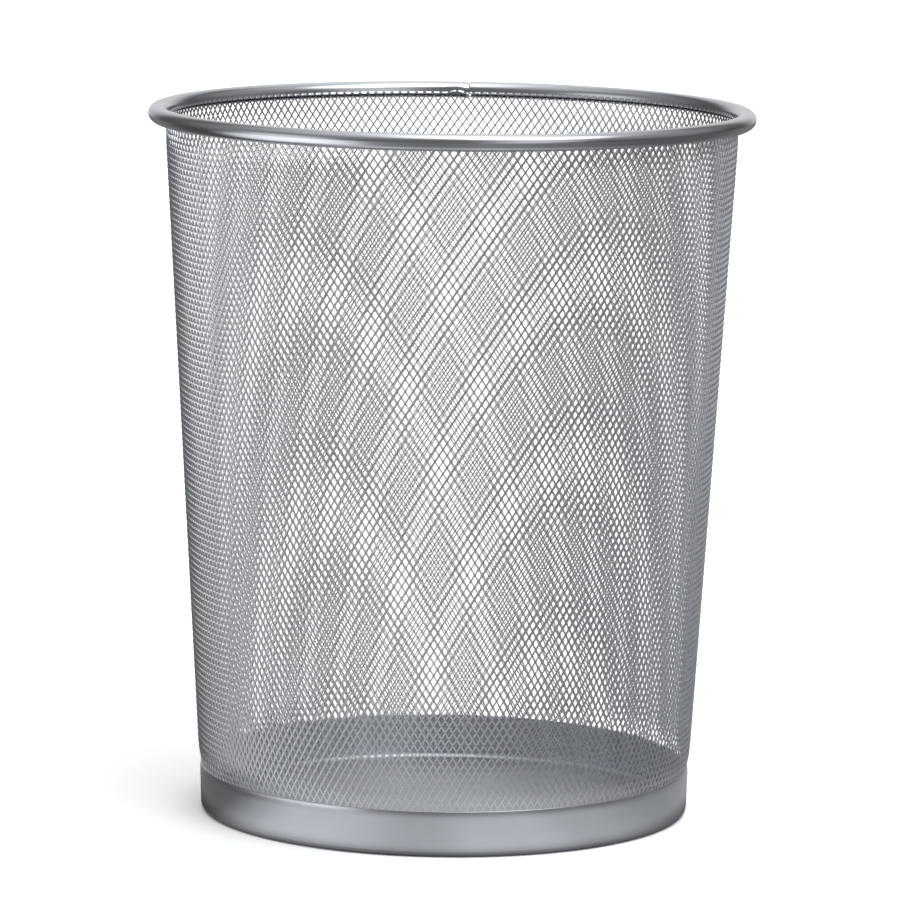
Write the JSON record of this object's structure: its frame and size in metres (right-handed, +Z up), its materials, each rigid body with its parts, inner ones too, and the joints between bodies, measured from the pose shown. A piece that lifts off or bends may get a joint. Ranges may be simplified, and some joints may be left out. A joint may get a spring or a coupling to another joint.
{
  "type": "wastebasket",
  "caption": "Round open-top mesh wastebasket: tapered expanded-steel wall, rolled bead rim with a butt joint, and a pressed base pan with a smooth skirt.",
  "frame": {"origin": "on the ground, at the centre of the underside", "axes": "+Z up along the basket's axis, through the open top; +Y towards the rim's butt joint, which is at the back"},
  "size_m": [0.295, 0.295, 0.346],
  "materials": {
    "rim_paint": "gloss metallic silver paint on rolled steel",
    "mesh_paint": "satin metallic silver paint on expanded steel",
    "pan_paint": "gloss metallic silver paint on pressed steel"
  },
  "bodies": {
    "root": {"rim_tube": "rim_paint", "mesh_wall": "mesh_paint", "base_pan": "pan_paint"}
  },
  "joints": []
}
